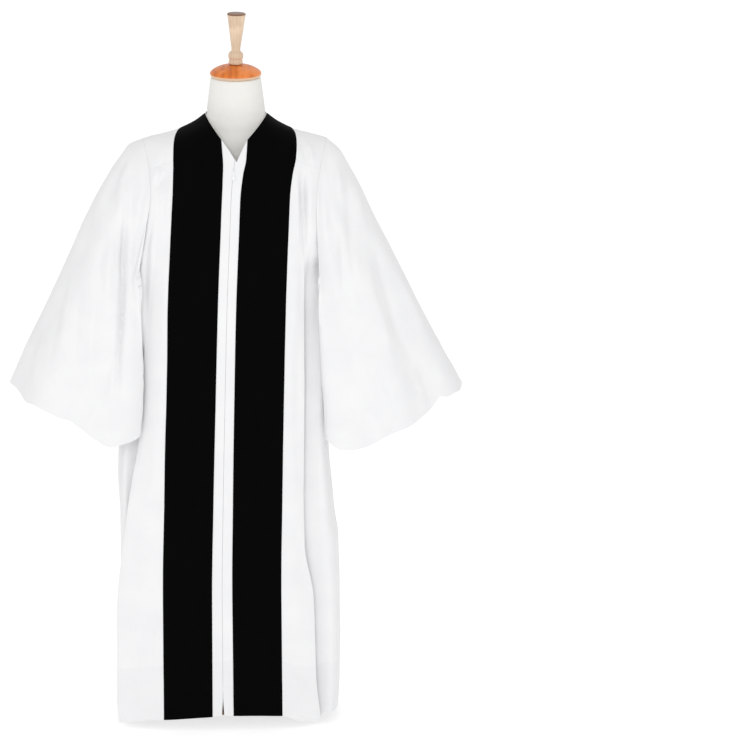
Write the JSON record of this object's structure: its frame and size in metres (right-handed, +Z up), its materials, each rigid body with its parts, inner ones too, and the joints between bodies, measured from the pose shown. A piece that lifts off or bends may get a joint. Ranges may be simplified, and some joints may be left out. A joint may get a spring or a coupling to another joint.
{
  "type": "pulpit robe on dress form",
  "caption": "White open-neck pulpit robe with black velvet front panels, bell sleeves, front zip and fluted back, hanging on a limbless dress form with a wooden neck cap and base.",
  "frame": {"origin": "on the floor, under the middle of the whole object's box", "axes": "+Z up, -Y out of the robe's front, +X towards the wearer's left"},
  "size_m": [1.0129, 0.3257, 1.5966],
  "materials": {
    "white_cloth": "plain weave with a soft sheen",
    "black_velvet": "short pile",
    "form_jersey": "stretched jersey",
    "cap_wood": "stained and varnished",
    "handle_wood": "varnished",
    "base_wood": "dark stain, varnished",
    "zip_plastic": "woven tape and moulded coil",
    "zip_metal": "white enamel on metal"
  },
  "bodies": {
    "robe_on_form": {"back": "white_cloth", "front_right": "white_cloth", "front_left": "white_cloth", "yoke_front_right": "white_cloth", "yoke_front_left": "white_cloth", "yoke_back": "white_cloth", "sleeve_right": "white_cloth", "sleeve_left": "white_cloth", "velvet_right": "black_velvet", "velvet_left": "black_velvet", "zip_tape_right": "zip_plastic", "zip_tape_left": "zip_plastic", "zip_coil": "zip_plastic", "zip_slider": "zip_metal", "form_torso": "form_jersey", "form_cap": "cap_wood", "form_handle": "handle_wood", "form_pole": "base_wood", "form_base": "base_wood"},
    "pull_tab": {"zip_pull": "zip_metal"}
  },
  "joints": [
    {"name": "zip_pull_hinge", "type": "hinge", "parent": "robe_on_form", "child": "pull_tab", "pos_m": [-0.00276, -0.12159, 1.26332], "axis": [-1, 0, 0], "range_deg": [0, 150]}
  ]
}
